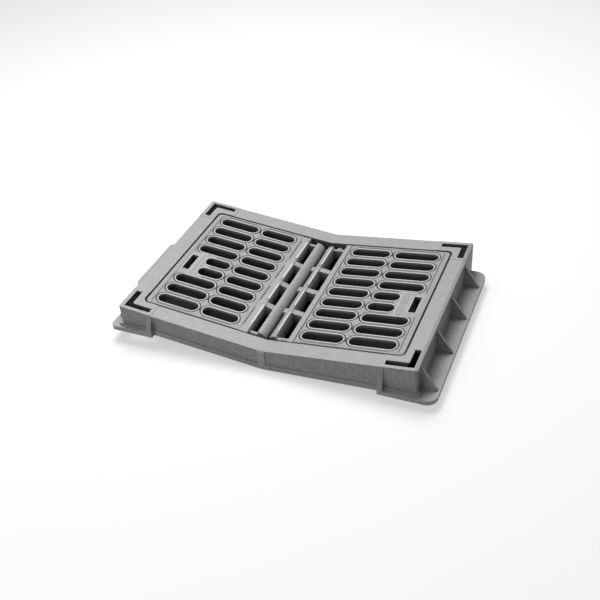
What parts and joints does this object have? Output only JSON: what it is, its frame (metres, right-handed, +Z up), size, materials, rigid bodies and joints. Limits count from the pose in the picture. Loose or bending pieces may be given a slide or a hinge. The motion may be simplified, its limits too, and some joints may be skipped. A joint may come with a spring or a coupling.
{
  "type": "storm drain grate",
  "caption": "Dished cast-iron gully grate: a flanged rectangular frame carries slotted leaves that are hinged at the middle line and lift from their outer ends.",
  "frame": {"origin": "below the middle of the clear opening, level with the lowest edge of the frame's long walls", "axes": "+X along the gutter towards the wide flange, +Y from the road side to the kerb side, +Z up"},
  "size_m": [0.908, 0.555, 0.105],
  "materials": {
    "frame_iron": "as cast, light grey",
    "leaf_iron": "as cast, light grey"
  },
  "bodies": {
    "frame": {"frame": "frame_iron"},
    "left_leaf": {"left_leaf": "leaf_iron"},
    "right_leaf": {"right_leaf": "leaf_iron"}
  },
  "joints": [
    {"name": "left_leaf_hinge", "type": "hinge", "parent": "frame", "child": "left_leaf", "pos_m": [-0.03308, 0, 0.04067], "axis": [0, 1, 0], "range_deg": [0, 85]},
    {"name": "right_leaf_hinge", "type": "hinge", "parent": "frame", "child": "right_leaf", "pos_m": [0.02811, 0, 0.0401], "axis": [0, -1, 0], "range_deg": [0, 85]}
  ]
}
